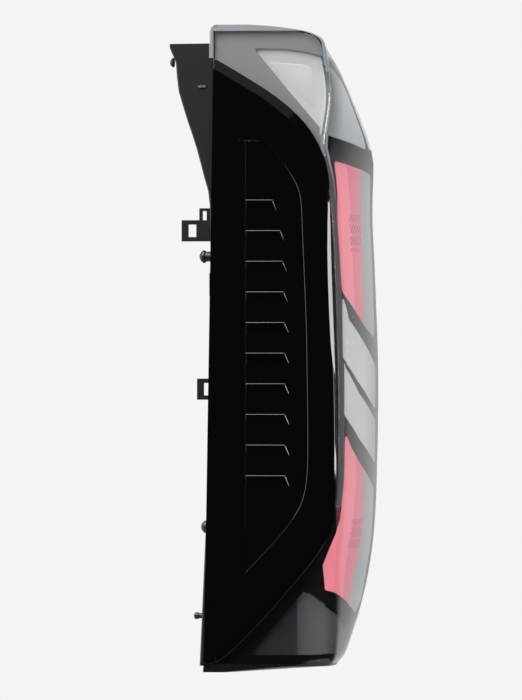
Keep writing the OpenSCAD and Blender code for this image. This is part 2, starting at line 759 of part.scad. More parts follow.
// Reflector tray behind the two bar diffusers
tray_wall = 1.6;
tray_x = led_x + max(led_t, head_t) + 0.5;
tray_out = rear_pts([[22, 282], [22, 190], [60, 174], [126, 158], [126, 246], [60, 266]]);
module bar_reflector() {
    color("#dfe3e5")
    placed()
    difference() {
        union() {
            slab_x(tray_x, 22 * kx, tray_out, 4);
            for (i = [0.5, 3.5])
                bar_x(led_x, tray_x + 1, (45 + i * led_step) * ky,
                    (186 + led_step / 2) * kz + led_side / 2, 4);
        }
        slab_x(tray_x + tray_wall, 30 * kx, shrunk(reverse(tray_out), tray_wall), 3);
        for (i = [0 : 4]) for (k = [0 : 2])
            translate([tray_x - 1, (45 + i * led_step) * ky - led_side,
                (186 + k * led_step) * kz - 1])
            cube([tray_wall + 2, 2 * led_side, led_side + 2]);
    }
}

// Driver electronics on the inside of the front wall
driver_y = 42 * ky;
driver_z = 236 * kz;
driver_w = 56;
driver_h = 44;
driver_lift = 8;
driver_x = wall_x(driver_y + driver_w, driver_z) + housing_wall + driver_lift;
module driver_board() {
    color("#1f5a38")
    placed()
    translate([driver_x, driver_y, driver_z])
    cube([board_t, driver_w, driver_h]);
}
module driver_cover() {
    color("#2a2c2e")
    placed()
    difference() {
        translate([driver_x + board_t, driver_y, driver_z])
        cube([12, driver_w, driver_h]);
        translate([driver_x + board_t - 1, driver_y + 2, driver_z + 2])
        cube([11, driver_w - 4, driver_h - 4]);
    }
}

// Finned cooler on the front wall
fin_t = 1.8;
fin_step = 5.2;
fin_count = 8;
sink_gap = 0.8;           // clearance from the cooler to the foam
sink_w = (fin_count - 1) * fin_step + fin_t;
sink_y = gasket_in - sink_gap - sink_w;
sink_z = 140 * kz;
sink_h = 60;
sink_base = 3;
sink_fin = 8;
module heat_sink() {
    color("#9a9da0")
    placed()
    translate([wall_x(sink_y + sink_w, sink_z) - sink_base - seat_gap, sink_y, sink_z]) {
        cube([sink_base, sink_w, sink_h]);
        for (i = [0 : fin_count - 1])
            translate([-sink_fin, i * fin_step, 0])
            cube([sink_fin + 0.1, fin_t, sink_h]);
    }
}

// Connector socket through the front wall
socket_back = 6;
module connector_socket() {
    color("#202224")
    placed()
    difference() {
        union() {
            translate([socket_front, socket_y - socket_w / 2, socket_z - socket_h / 2])
            cube([socket_back - socket_front, socket_w, socket_h]);
            translate([wall_x(socket_y + socket_w / 2 + socket_flange, socket_z) - 2 - seat_gap,
                socket_y - socket_w / 2 - socket_flange,
                socket_z - socket_h / 2 - socket_flange])
            cube([2, socket_w + 2 * socket_flange, socket_h + 2 * socket_flange]);
        }
        translate([socket_front - 1, socket_y - socket_w / 2 + socket_wall,
            socket_z - socket_h / 2 + socket_wall])
        cube([socket_back - socket_front - 1, socket_w - 2 * socket_wall,
            socket_h - 2 * socket_wall]);
    }
}
pin_side = 0.8;
pin_step = 4;
module connector_pins() {
    color("#c8a24a")
    placed()
    for (i = [-2 : 2]) for (k = [-0.5, 0.5])
        translate([socket_back - 2 - 9, socket_y + i * pin_step - pin_side / 2,
            socket_z + k * pin_step * 1.4 - pin_side / 2])
        cube([9, pin_side, pin_side]);
}

// Foam ring between the front wall and the body
gasket_t = 4;
// Closed outline with its long sides split into steps
function divided(pts, step) =
    [for (i = [0 : len(pts) - 1])
        let (a = pts[i], b = pts[(i + 1) % len(pts)], n = max(1, ceil(norm(b - a) / step)))
        each [for (k = [0 : n - 1]) mix(a, b, k / n)]];
gasket_pts = let (a = 34 * ky, b = gasket_end, low = 84 * kz, high = 352 * kz)
    rounded([[a, low], [b, low], [b, high], [a, high]], 16);
module body_gasket() {
    outer = reverse(divided(gasket_pts, 20));
    inner = shrunk(outer, gasket_w);
    n = len(outer);
    rings = [[outer, -gasket_t], [outer, 0], [inner, 0], [inner, -gasket_t]];
    color("#2b2b2c")
    placed()
    polyhedron(
        points = [for (r = rings) for (p = r[0]) [wall_x(p[0], p[1]) - seat_gap + r[1], p[0], p[1]]],
        faces = [for (k = [0 : 3]) for (i = [0 : n - 1])
            let (j = (i + 1) % n, a = k * n, b = ((k + 1) % 4) * n)
            each [[a + i, b + j, b + i], [a + i, a + j, b + j]]]);
}

module vent_caps() {
    color("#d9d9d4")
    placed()
    for (v = vent_yz)
        difference() {
            union() {
                bar_x(wall_x(v[0], v[1]) - 4, wall_x(v[0], v[1]) - 2 * seat_gap,
                    v[0], v[1], vent_d);
                bar_x(wall_x(v[0], v[1]) - 1, 5, v[0], v[1], vent_bore - 0.4);
            }
            bar_x(wall_x(v[0], v[1]) - 2, 6, v[0], v[1], vent_bore - 2);
        }
}

stud_yz = [[14, 320.9 * kz], [20, 112.2 * kz]];
stud_tip = -9;
stud_neck = 3.9;
stud_collar = 4.4;
function stud_seat(s) =
    wall_x(s[0] + stud_collar, s[1] - stud_collar) - stud_tip - seat_gap;
module ball_studs() {
    color("#1e1f20")
    placed()
    for (s = stud_yz)
        translate([stud_tip, s[0], s[1]])
        rotate([0, 90, 0])
        rotate_extrude()
        polygon([[0, 0], [1.8, 0.3], [3.6, 1.4], [stud_d / 2 - 0.4, 2.9], [stud_d / 2 - 0.4, 4.4],
            [stud_neck, 5.2], [stud_neck, stud_seat(s) - 0.9], [stud_collar, stud_seat(s) - 0.4],
            [stud_collar, stud_seat(s)], [0, stud_seat(s)]]);
}
pin_yz = [16, 43.6 * kz];
pin_tip = -13.6;
module locating_pin() {
    color("#1e1f20")
    placed()
    translate([pin_tip, pin_yz[0], pin_yz[1]])
    rotate([0, 90, 0])
    rotate_extrude()
    polygon([[0, 0], [1.8, 0.1], [2.65, 0.8], [2.65, 3.3], [pin_d / 2, 3.9],
        [pin_d / 2, wall_x(pin_yz[0], pin_yz[1]) - pin_tip - seat_gap],
        [0, wall_x(pin_yz[0], pin_yz[1]) - pin_tip - seat_gap]]);
}

module screw_sleeves() {
    color("#b5b9bd")
    placed()
    at_jamb_screws()
        rotate([0, -90, 0])
        difference() {
            cylinder(d = sleeve_bore + 2 * sleeve_wall, h = sleeve_len);
            translate([0, 0, -1])
            cylinder(d = sleeve_bore, h = sleeve_len + 2);
        }
}

// Bent spring clip on the side of the bulge
clip_z = 451 * kz;
clip_w = 6;
module spring_clip() {
    color("#d0d4d7")
    placed()
    translate([-7, 0, clip_z])
    linear_extrude(1.8)
    polygon([[0, 0.7], [0, 0], [1.5, -0.6], [3, -0.9], [4.5, -0.2], [clip_w, -0.6],
        [clip_w, 0], [4.5, 0.4], [3, -0.3], [1.5, 0], [0.6, 0.7]]);
}
buffer_y = 9;
buffer_z = 470.7 * kz;
buffer_d = 7.4;
module rubber_buffer() {
    seat = wall_x(buffer_y + buffer_d / 2, buffer_z + buffer_d) - seat_gap;
    color("#141414")
    placed()
    intersection() {
        bar_x(seat - 10, seat, buffer_y, buffer_z, buffer_d);
        translate([seat + 1.2, buffer_y, buffer_z])
        sphere(r = buffer_d / 2 + 0.5);
    }
}

// Moves a piece from the drawing frame to the part's own frame
module placed() {
    translate([-jamb_x, -jamb_y, -jamb_z])
    children();
}

outer_lens();
side_louvre_panel();
housing();
lens_seal();
inner_bezel();
upper_corner_reflector();
lower_corner_reflector();
upper_light_guide();
lower_light_guide();
upper_side_diffuser();
lower_side_diffuser();
upper_bar_diffuser();
lower_bar_diffuser();
bar_reflector();
board_carrier();
upper_led_board();
bar_led_board();
lower_led_board();
upper_leds();
bar_leds();
lower_leds();
board_screws();
driver_board();
driver_cover();
heat_sink();
connector_socket();
connector_pins();
body_gasket();
vent_caps();
ball_studs();
locating_pin();
screw_sleeves();
spring_clip();
rubber_buffer();
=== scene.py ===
"""Dresses a car's tail light cluster: clear wrap-round lens, louvred side panel, red guides,
pale diffusers and a black housing, under studio light."""

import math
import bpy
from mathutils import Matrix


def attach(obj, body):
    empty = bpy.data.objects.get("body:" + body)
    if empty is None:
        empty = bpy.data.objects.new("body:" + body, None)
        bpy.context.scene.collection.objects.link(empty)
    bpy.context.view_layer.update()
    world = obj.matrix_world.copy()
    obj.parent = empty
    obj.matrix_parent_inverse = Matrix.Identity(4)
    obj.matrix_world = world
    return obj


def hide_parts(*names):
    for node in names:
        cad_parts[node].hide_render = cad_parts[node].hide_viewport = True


bl_info = {
    "name": "Tail Light Cluster",
    "version": (1, 0, 0),
    "blender": (4, 5, 0),
    "location": "View3D > Sidebar > Tail Light",
    "description": "Builds the lamp's pieces and finishes round its solid model",
    "category": "Object",
}

import bmesh
import bpy
from bpy.props import FloatProperty, FloatVectorProperty, PointerProperty
from mathutils import Vector

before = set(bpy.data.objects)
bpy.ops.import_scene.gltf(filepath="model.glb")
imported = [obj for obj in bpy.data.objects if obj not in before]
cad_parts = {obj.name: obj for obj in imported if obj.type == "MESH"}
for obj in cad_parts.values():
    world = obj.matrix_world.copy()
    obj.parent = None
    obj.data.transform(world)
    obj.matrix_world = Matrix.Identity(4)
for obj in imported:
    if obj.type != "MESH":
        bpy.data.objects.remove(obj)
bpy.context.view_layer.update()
MM = 0.001

# The drawing frame of the lamp: X from the side flange to the rear, Y inboard and Z up from
# the foot, in millimetres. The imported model's origin lies between the two jamb screws.
DRAWING_ORIGIN = Vector((-34, -161, -250)) * MM

# Heights in the drawing frame where the finish of the lens, the bezel or the rim changes
FOOT_TOP = 6.9  # the black foot ends here
SHADED_CORNER_LOW = 129  # the painted dark band down the corner, standing for the corner's shade, starts here
SHADED_CORNER_TOP = 398  # and ends here, where the ridge of the crown begins
SHOULDER = 463  # above this the ridge is grey
PAINT_LOW = 474  # above this all of the crown is grey
CROWN_LOW = 494.8  # the lens rolls over the crown here

RIM_START = 1.4  # front edge of the housing's rim beside the crown
RIM_END = 4.2  # front edge of the lens's clear part
CORNER_WIDTH = 2.3  # how far the corner's curve reaches across the rear face


def place(x, y, z):
    """A point of the drawing frame as a point of the scene, in metres."""
    return DRAWING_ORIGIN + Vector((x, y, z)) * MM


def srgb(code):
    """Linear RGBA of a hex colour."""
    parts = [int(code[i : i + 2], 16) / 255 for i in (1, 3, 5)]
    linear = [c / 12.92 if c <= 0.04045 else ((c + 0.055) / 1.055) ** 2.4 for c in parts]
    return (*linear, 1.0)


def colour_prop(name, code, text):
    """A colour that a user may change, given here as sRGB hex."""
    return FloatVectorProperty(
        name=name, description=text, subtype="COLOR", size=4, min=0, max=1, default=srgb(code)
    )


def size_prop(name, value, text):
    """A length in metres, given here in millimetres."""
    return FloatProperty(name=name, description=text, unit="LENGTH", default=value * MM, min=0)


class LampSizes(bpy.types.PropertyGroup):
    """Radii and grain of the finished pieces"""

    panel_edge: size_prop("Panel edge", 0.3, "Radius on the edges of the louvred panel")
    moulded_edge: size_prop("Moulded edge", 0.4, "Radius on the edges of the housing")
    small_edge: size_prop("Small edge", 0.2, "Radius on the edges of small pieces")
    sheet_edge: size_prop("Sheet edge", 0.12, "Radius on the edges of sheet metal")
    housing_grain: size_prop("Housing grain", 0.9, "Width of the grain moulded on the housing")


class LampColours(bpy.types.PropertyGroup):
    """Colours of the finished pieces"""

    acrylic: colour_prop("Acrylic", "#F8F8F8", "Tint of the clear lens")
    panel: colour_prop("Panel", "#040405", "Piano black of the side panel")
    housing: colour_prop("Housing", "#0A0B0C", "Black of the moulded housing")
    bezel: colour_prop("Bezel", "#0A0B0C", "Black of the bezel's rear face")
    trim: colour_prop("Trim", "#8C8F92", "Grey paint on the bezel's side face")
    red: colour_prop("Red", "#EC8A98", "Red of the light guides")
    # Painted shade: the darker red that the guide is painted beyond its fold
    red_shaded: colour_prop("Deep red", "#DA7488", "Red beyond the fold of a light guide")
    pale: colour_prop("Pale", "#9A9DA0", "Pale grey of the side diffusers")
    white: colour_prop("White", "#C6C8CA", "White of the slanted bars")
    silver: colour_prop("Silver", "#C6C9CB", "Metallised reflectors")
    smoke: colour_prop("Smoke", "#3C3F42", "Lower corner reflector")


class LampStage(bpy.types.PropertyGroup):
    """Camera and floor"""

    distance: FloatProperty(
        name="Camera distance", description="From the lamp's centre", default=10.0, unit="LENGTH"
    )
    frame_height: size_prop("Frame height", 539.3, "Height of the picture at the lamp")
    azimuth: FloatProperty(
        name="Azimuth", description="How far the camera stands behind square to the side panel",
        default=math.radians(12), subtype="ANGLE",
    )
    floor_radius: FloatProperty(
        name="Floor radius", description="Radius of the round floor", default=0.5, unit="LENGTH"
    )
    floor_drop: size_prop("Floor drop", 450, "Height of the jamb screws above the floor")


def sizes():
    return bpy.context.scene.lamp_sizes


def colours():
    return bpy.context.scene.lamp_colours


def stage():
    return bpy.context.scene.lamp_stage


def add(tree, kind, values=None, links=None, **settings):
    """Adds a node, with its settings, its inputs' values and what is linked to them."""
    made = tree.nodes.new(kind)
    for key, value in settings.items():
        setattr(made, key, value)
    for key, value in (values or {}).items():
        made.inputs[key].default_value = value
    for key, socket in (links or {}).items():
        tree.links.new(socket, made.inputs[key])
    return made


def finish(name, values):
    """A material with one Principled shader; returns the material, its tree and the shader."""
    mat = bpy.data.materials.get(name)
    if mat:
        return mat, None, None
    mat = bpy.data.materials.new(name)
    mat.use_nodes = True
    tree = mat.node_tree
    tree.nodes.clear()
    shader = add(tree, "ShaderNodeBsdfPrincipled", values)
    add(tree, "ShaderNodeOutputMaterial", links={"Surface": shader.outputs[0]})
    return mat, tree, shader


def object_point(tree):
    """Object coordinates, in metres."""
    return add(tree, "ShaderNodeTexCoord").outputs["Object"]


def grain(tree, shader, width, height, low, high):
    """Moulded grain of a given width and height in millimetres, which also varies the gloss."""
    noise = add(
        tree,
        "ShaderNodeTexNoise",
        {"Scale": 1 / (width * MM), "Detail": 3, "Roughness": 0.55},
        {"Vector": object_point(tree)},
    )
    bump = add(
        tree,
        "ShaderNodeBump",
        {"Strength": 0.6, "Distance": height * MM},
        {"Height": noise.outputs["Fac"]},
    )
    rough = add(
        tree,
        "ShaderNodeMapRange",
        {"From Min": 0.3, "From Max": 0.7, "To Min": low, "To Max": high},
        {"Value": noise.outputs["Fac"]},
    )
    tree.links.new(bump.outputs["Normal"], shader.inputs["Normal"])
    tree.links.new(rough.outputs["Result"], shader.inputs["Roughness"])


def between(tree, socket, low, high):
    """1 where the value lies between two limits, and 0 elsewhere."""
    above = add(tree, "ShaderNodeMath", {1: low}, {0: socket}, operation="GREATER_THAN")
    below = add(tree, "ShaderNodeMath", {1: high}, {0: socket}, operation="LESS_THAN")
    return add(
        tree, "ShaderNodeMath", None, {0: above.outputs[0], 1: below.outputs[0]},
        operation="MULTIPLY",
    ).outputs[0]


def across(tree, socket, start, end):
    """Grows from 0 to 1 as the value goes from start to end."""
    return add(tree, "ShaderNodeMapRange", {"From Min": start, "From Max": end},
               {"Value": socket}).outputs["Result"]


def blended(tree, factor, first, second):
    """A colour between two others, each one a colour or a socket."""
    made = add(tree, "ShaderNodeMix", None, {"Factor": factor}, data_type="RGBA")
    for key, value in (("A", first), ("B", second)):
        socket = next(i for i in made.inputs if i.name == key and i.type == "RGBA")
        if isinstance(value, bpy.types.NodeSocket):
            tree.links.new(value, socket)
        else:
            socket.default_value = value
    return next(o for o in made.outputs if o.type == "RGBA")


def clear_acrylic():
    """Injection-moulded acrylic, polished: it bends what lies behind the rear face, and mirrors
    more of the room at a glancing angle. Shadow rays pass, so that lamps light what is behind."""
    mat, tree, shader = finish(
        "clear_moulded_acrylic",
        {"Base Color": colours().acrylic, "Roughness": 0.0, "IOR": 1.49,
         "Transmission Weight": 1.0},
    )
    if tree:
        out = shader.outputs[0].links[0].to_node
        path = add(tree, "ShaderNodeLightPath")
        through = add(tree, "ShaderNodeBsdfTransparent", {"Color": srgb("#F0F4F5")})
        mix = add(
            tree, "ShaderNodeMixShader", None,
            {0: path.outputs["Is Shadow Ray"], 1: shader.outputs[0], 2: through.outputs[0]},
        )
        tree.links.new(mix.outputs[0], out.inputs["Surface"])
    return mat


def clear_wall():
    """The same acrylic where it is a plain parallel wall, seen face on: what lies behind keeps
    its place, and the polished face mirrors 4% of the room, or more at a glancing angle."""
    mat, tree, shader = finish("clear_acrylic_wall", {})
    if tree:
        out = shader.outputs[0].links[0].to_node
        tree.nodes.remove(shader)
        through = add(tree, "ShaderNodeBsdfTransparent", {"Color": colours().acrylic})
        mirror = add(tree, "ShaderNodeBsdfAnisotropic", {"Color": (1, 1, 1, 1), "Roughness": 0.0})
        facing = add(tree, "ShaderNodeLayerWeight", {"Blend": 0.5}).outputs["Facing"]
        steep = add(tree, "ShaderNodeMath", {1: 5.0}, {0: facing}, operation="POWER")
        share = add(tree, "ShaderNodeMapRange", {"To Min": 0.04, "To Max": 0.9},
                    {"Value": steep.outputs[0]})
        mix = add(
            tree, "ShaderNodeMixShader", None,
            {0: share.outputs["Result"], 1: through.outputs[0], 2: mirror.outputs[0]},
        )
        tree.links.new(mix.outputs[0], out.inputs["Surface"])
    return mat


def piano_black():
    """High-gloss black acrylic-styrene: deep black with mirror reflections, barely uneven."""
    mat, tree, shader = finish(
        "piano_black_moulding",
        {"Base Color": colours().panel, "Roughness": 0.04, "IOR": 1.5},
    )
    if tree:
        # Flow marks of the moulding, about 30 mm apart and a few thousandths high
        noise = add(tree, "ShaderNodeTexNoise", {"Scale": 1 / (30 * MM), "Detail": 1},
                    {"Vector": object_point(tree)})
        bump = add(tree, "ShaderNodeBump", {"Strength": 0.1, "Distance": 0.004 * MM},
                   {"Height": noise.outputs["Fac"]})
        tree.links.new(bump.outputs["Normal"], shader.inputs["Normal"])
    return mat


def black_abs():
    """Black ABS with a fine eroded grain: dark grey sheen on the curves."""
    mat, tree, shader = finish(
        "black_grained_abs", {"Base Color": colours().housing, "IOR": 1.5}
    )
    if tree:
        # Real grain is about 0.3 mm; it is drawn three times as wide so that it shows
        grain(tree, shader, sizes().housing_grain / MM, 0.05, 0.34, 0.5)
    return mat


def bezel_paint():
    """Gloss black moulding with a satin grey paint on its side face and along the crease: light
    round the upper corner window, and none at the foot. Beside the panel the grey is painted
    darker, as painted shade."""
    mat, tree, shader = finish("gloss_black_with_grey_paint", {"IOR": 1.5})
    if tree:
        axes = add(tree, "ShaderNodeSeparateXYZ", None, {"Vector": object_point(tree)})
        wide, high = axes.outputs["Y"], axes.outputs["Z"]
        # A limit of 1 m either way is none
        side = between(tree, wide, -1, place(0, 11, 0).y)
        above = between(tree, high, place(0, 0, 128).z, 1)
        painted = add(tree, "ShaderNodeMath", None, {0: side, 1: above}, operation="MULTIPLY")
        crown = between(tree, high, place(0, 0, PAINT_LOW).z, 1)
        mask = add(tree, "ShaderNodeMath", None, {0: painted.outputs[0], 1: crown},
                   operation="MAXIMUM").outputs[0]
        # Mottle of the sprayed paint, 9 mm apart
        mottle = add(tree, "ShaderNodeTexNoise", {"Scale": 1 / (9 * MM), "Detail": 2},
                     {"Vector": object_point(tree)})
        light = blended(tree, mottle.outputs["Fac"], srgb("#868A8D"), colours().trim)
        # Painted shade: below the upper corner window the grey is painted darker beside the panel
        corner = across(tree, high, place(0, 0, 368).z, place(0, 0, 396).z)
        shade_beside_panel = srgb("#54575A")
        paint = blended(tree, corner, shade_beside_panel, light)
        colour = blended(tree, mask, colours().bezel, paint)
        rough = add(tree, "ShaderNodeMapRange", {"To Min": 0.12, "To Max": 0.5}, {"Value": mask})
        tree.links.new(colour, shader.inputs["Base Color"])
        tree.links.new(rough.outputs["Result"], shader.inputs["Roughness"])
    return mat


def red_guide():
    """Translucent red acrylic guide: bright red, painted darker beyond its fold as painted shade,
    with fine prisms and a patch of coarser ones."""
    mat, tree, shader = finish("red_light_guide", {"Roughness": 0.25, "IOR": 1.49})
    if tree:
        axes = add(tree, "ShaderNodeSeparateXYZ", None, {"Vector": object_point(tree)})
        wide, high = axes.outputs["Y"], axes.outputs["Z"]
        # Prisms across the guide, 2.4 mm apart
        wave = add(tree, "ShaderNodeMath", {1: 2 * math.pi / (2.4 * MM)}, {0: high},
                   operation="MULTIPLY")
        prism = add(tree, "ShaderNodeMath", None, {0: wave.outputs[0]}, operation="SINE")
        bump = add(tree, "ShaderNodeBump", {"Strength": 0.15, "Distance": 0.1 * MM},
                   {"Height": prism.outputs[0]})
        # Painted shade: beyond the fold the guide is painted a darker red
        beyond = across(tree, wide, place(0, 49, 0).y, place(0, 53, 0).y)
        colour = blended(tree, beyond, colours().red, colours().red_shaded)
        # Two patches of deep slanting prisms in rows, which look like dark strokes. The real
        # ones are about 6 mm apart and are drawn at 9.5 mm, since finer ones blur to grey.
        turn = 2 * math.pi / (9.5 * MM)
        slant = add(tree, "ShaderNodeVectorMath", {1: (0, turn, -2 * turn)},
                    {0: object_point(tree)}, operation="DOT_PRODUCT")
        stroke = add(tree, "ShaderNodeMath", None, {0: slant.outputs["Value"]}, operation="SINE")
        step = add(tree, "ShaderNodeMath", {1: 2 * math.pi / (9 * MM)}, {0: high},
                   operation="MULTIPLY")
        row = add(tree, "ShaderNodeMath", None, {0: step.outputs[0]}, operation="SINE")
        deep = add(tree, "ShaderNodeMath", None,
                   {0: across(tree, stroke.outputs[0], -0.2, 0.6),
                    1: across(tree, row.outputs[0], -0.85, -0.6)}, operation="MULTIPLY")
        for low, top in ((325, 353), (96, 118)):
            patch = add(
                tree, "ShaderNodeMath", None,
                {0: between(tree, high, place(0, 0, low).z, place(0, 0, top).z),
                 1: between(tree, wide, place(0, 46, 0).y, place(0, 88, 0).y)},
                operation="MULTIPLY",
            )
            lines = add(tree, "ShaderNodeMath", None,
                        {0: patch.outputs[0], 1: deep.outputs[0]}, operation="MULTIPLY")
            shaded = srgb("#A64E68")
            colour = blended(tree, lines.outputs[0], colour, shaded)
        tree.links.new(colour, shader.inputs["Base Color"])
        tree.links.new(bump.outputs["Normal"], shader.inputs["Normal"])
    return mat


def corner_silver():
    """Metallised reflector. Its side face is painted lighter than its rear part, as painted light
    and shade, and lighter still lower down; the rear part is painted darkest at the ridge, as
    painted shade."""
    mat, tree, shader = finish("satin_metallised_silver", {"Metallic": 0.1, "Roughness": 0.5})
    if tree:
        axes = add(tree, "ShaderNodeSeparateXYZ", None, {"Vector": object_point(tree)})
        wide, high = axes.outputs["Y"], axes.outputs["Z"]
        # Painted shade: the rear part is painted dark at the ridge and lighter inboard
        drawn = across(tree, wide, place(0, 9, 0).y, place(0, 46, 0).y)
        rear = blended(tree, drawn, srgb("#6E7174"), srgb("#B6B9BC"))
        # Painted light: the side face gets a lighter colour than the rear part
        turned = across(tree, wide, place(0, 8.4, 0).y, place(0, 8.8, 0).y)
        fade = across(tree, high, place(0, 0, 412).z, place(0, 0, 482).z)
        side = blended(tree, fade, srgb("#D6D8D9"), colours().silver)
        tree.links.new(blended(tree, turned, side, rear), shader.inputs["Base Color"])
    return mat


def corner_smoke():
    """Smoked metallised reflector folded in two facets. The front facet is painted darker than the
    rear one, as painted shade, and a little lighter towards the foot, as painted light.
    """
    mat, tree, shader = finish("satin_metallised_smoke", {"Metallic": 0.1, "Roughness": 0.62})
    if tree:
        axes = add(tree, "ShaderNodeSeparateXYZ", None, {"Vector": object_point(tree)})
        # Painted shade on the front facet, which lightens towards the foot as painted light
        facet = across(tree, axes.outputs["X"], place(69.4, 0, 0).x, place(70.2, 0, 0).x)
        lit = across(tree, axes.outputs["Z"], place(0, 0, 60).z, place(0, 0, 12).z)
        dark = blended(tree, lit, srgb("#0D0E0F"), srgb("#1A1C1E"))
        tree.links.new(blended(tree, facet, dark, colours().smoke), shader.inputs["Base Color"])
    return mat


def frosted(name, colour, text_scale, shade=1.0):
    """Milky polycarbonate with a frosted face: soft and faintly mottled. Towards the inboard end
    its tone is painted darker, as painted shade; shade is what is left of its tone at the inboard
    end."""
    mat, tree, shader = finish(name, {"IOR": 1.58})
    if tree:
        noise = add(tree, "ShaderNodeTexNoise", {"Scale": 1 / (text_scale * MM), "Detail": 4},
                    {"Vector": object_point(tree)})
        dark = [c * 0.9 for c in colour[:3]] + [1.0]
        tone = add(tree, "ShaderNodeMix", {"A": dark, "B": colour},
                   {"Factor": noise.outputs["Fac"]}, data_type="RGBA")
        axes = add(tree, "ShaderNodeSeparateXYZ", None, {"Vector": object_point(tree)})
        # Painted shade: the tone darkens towards the inboard end
        inboard = across(tree, axes.outputs["Y"], place(0, 84, 0).y, place(0, 138, 0).y)
        far = [c * shade for c in colour[:3]] + [1.0]
        mixed = blended(tree, inboard, tone.outputs["Result"], far)
        tree.links.new(mixed, shader.inputs["Base Color"])
        grain(tree, shader, 0.6, 0.02, 0.32, 0.48)
    return mat


def plain(name, code, low, high, width, height=0.03, metallic=0.0):
    """A moulded, cast or plated finish: one colour, roughness from low to high, and a grain
    whose width and height are in millimetres."""
    values = {"Base Color": srgb(code), "Metallic": metallic}
    if not metallic:
        values["IOR"] = 1.5
    mat, tree, shader = finish(name, values)
    if tree:
        grain(tree, shader, width, height, low, high)
    return mat


def in_scene(name, mesh):
    """An object in the scene that holds a mesh."""
    made = bpy.data.objects.new(name, mesh)
    bpy.context.scene.collection.objects.link(made)
    return made


def smooth(bm, angle):
    """Shades a mesh smooth, with edges above an angle left sharp."""
    for face in bm.faces:
        face.smooth = True
    for edge in bm.edges:
        edge.smooth = len(edge.link_faces) == 2 and edge.calc_face_angle(0) < angle


def outside_edges(bm, angle):
    """Marks the edges to round: those that stick out, not the inside corners of a moulding."""
    weight = bm.edges.layers.float.new("bevel_weight_edge")
    for edge in bm.edges:
        corner = len(edge.link_faces) == 2 and edge.calc_face_angle(0) > angle
        edge[weight] = float(corner and edge.is_convex)


def rounded(made, width, segments=2, clamp=True):
    """Rounds the marked edges of a piece, and keeps its flat faces flat in the light."""
    bevel = made.modifiers.new("rounded edges", "BEVEL")
    bevel.width = width
    bevel.segments = segments
    bevel.limit_method = "WEIGHT"
    bevel.use_clamp_overlap = clamp
    weighted = made.modifiers.new("flat faces", "WEIGHTED_NORMAL")
    weighted.keep_sharp = True
    weighted.weight = 80
    return made


def refined(node, material, edge=None, shape=None, angle=30, clamp=True):
    """A smooth copy of a node's solid, which stands for it. shape edits its bmesh."""
    bm = bmesh.new()
    bm.from_mesh(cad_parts[node].data)
    bmesh.ops.remove_doubles(bm, verts=bm.verts, dist=0.002 * MM)
    bmesh.ops.dissolve_limit(
        bm, angle_limit=math.radians(0.4), verts=bm.verts, edges=bm.edges,
        use_dissolve_boundaries=False,
    )
    if shape:
        shape(bm)
    smooth(bm, math.radians(angle))
    if edge:
        outside_edges(bm, math.radians(angle))
    mesh = bpy.data.meshes.new(node + "_mesh")
    bm.to_mesh(mesh)
    bm.free()
    made = in_scene(node + "_moulded", mesh)
    mesh.materials.append(material)
    if edge:
        rounded(made, edge, clamp=clamp)
    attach(made, "root")
    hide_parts(node)
    return made


def dress(node, material):
    """Gives a node's own solid its finish."""
    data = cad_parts[node].data
    data.materials.clear()
    data.materials.append(material)


def cut_at(cuts):
    """Gives a function that splits a mesh along flat planes, each (x, y, z, level)."""

    def split(bm):
        for x, y, z, level in cuts:
            bmesh.ops.bisect_plane(
                bm, geom=bm.verts[:] + bm.edges[:] + bm.faces[:], dist=0.001 * MM,
                plane_co=(level * x, level * y, level * z), plane_no=(x, y, z),
            )

    return split


def crown_rim(made):
    """Paints the rim in front of the lens's crown grey, as the crown is."""
    made.data.materials.append(plain("silver_painted_rim", "#7A7D80", 0.4, 0.5, 2))
    start, end = place(RIM_START, 0, 0), place(8, 3.2, PAINT_LOW)
    for face in made.data.polygons:
        where = face.center
        if start.x < where.x < end.x and where.y < end.y and where.z > end.z:
            face.material_index = len(made.data.materials) - 1


class LAMP_OT_outer_lens(bpy.types.Operator):
    """Clear lens that wraps the side and the rear face"""

    bl_idname = "lamp.outer_lens"
    bl_label = "Outer lens"

    def execute(self, context):
        heights = [
            place(0, 0, z).z
            for z in (FOOT_TOP, SHADED_CORNER_LOW, SHADED_CORNER_TOP, SHOULDER, PAINT_LOW, CROWN_LOW)
        ]
        foot, low, high, shoulder, cap, crown = heights
        front = place(RIM_END, 0, 0).x
        cuts = [(0, 0, 1, level) for level in heights] + [(1, 0, 0, front)]
        split = cut_at(cuts)

        # The first material bends what lies behind it, and goes on the outer rear face alone
        lens = refined("outer_lens", clear_acrylic(), shape=split, angle=28)
        others = (
            clear_wall(),
            plain("black_moulded_border", "#0B0B0C", 0.25, 0.35, 2),
            plain("grey_moulded_border", "#7A7D80", 0.45, 0.55, 2),
            # Painted shade: the dark grey band on the corner's curve
            plain("painted_corner_shade", "#34373A", 0.6, 0.7, 2),
        )
        for material in others:
            lens.data.materials.append(material)
        wall, black, grey, bead = range(1, 5)
        behind_side = place(0, 8, 0).y
        corner = place(0, CORNER_WIDTH, 0).y
        for face in lens.data.polygons:
            where, out = face.center, face.normal
            back = where.y > behind_side and where.z < crown
            if where.z < foot or (back and out.y > 0.6 and out.x > -0.1) or (
                back and out.y < -0.6 and out.x < 0.1
            ):
                # The foot and the return on the inboard side
                face.material_index = black
            elif where.z > crown or (where.z > cap and where.x < front) or (
                where.y < corner and out.x > 0.17 and where.z > shoulder
            ):
                # The crown's rim and the top of the corner
                face.material_index = grey
            elif where.y < corner and out.x > 0.08 and low < where.z < high:
                # A dark grey band painted on the curve between the side and the rear face, as
                # painted shade
                face.material_index = bead
            elif out.x < 0.17 or (where.y < corner and where.z > high):
                # The side, the ridge and all inner faces
                face.material_index = wall
        return {"FINISHED"}


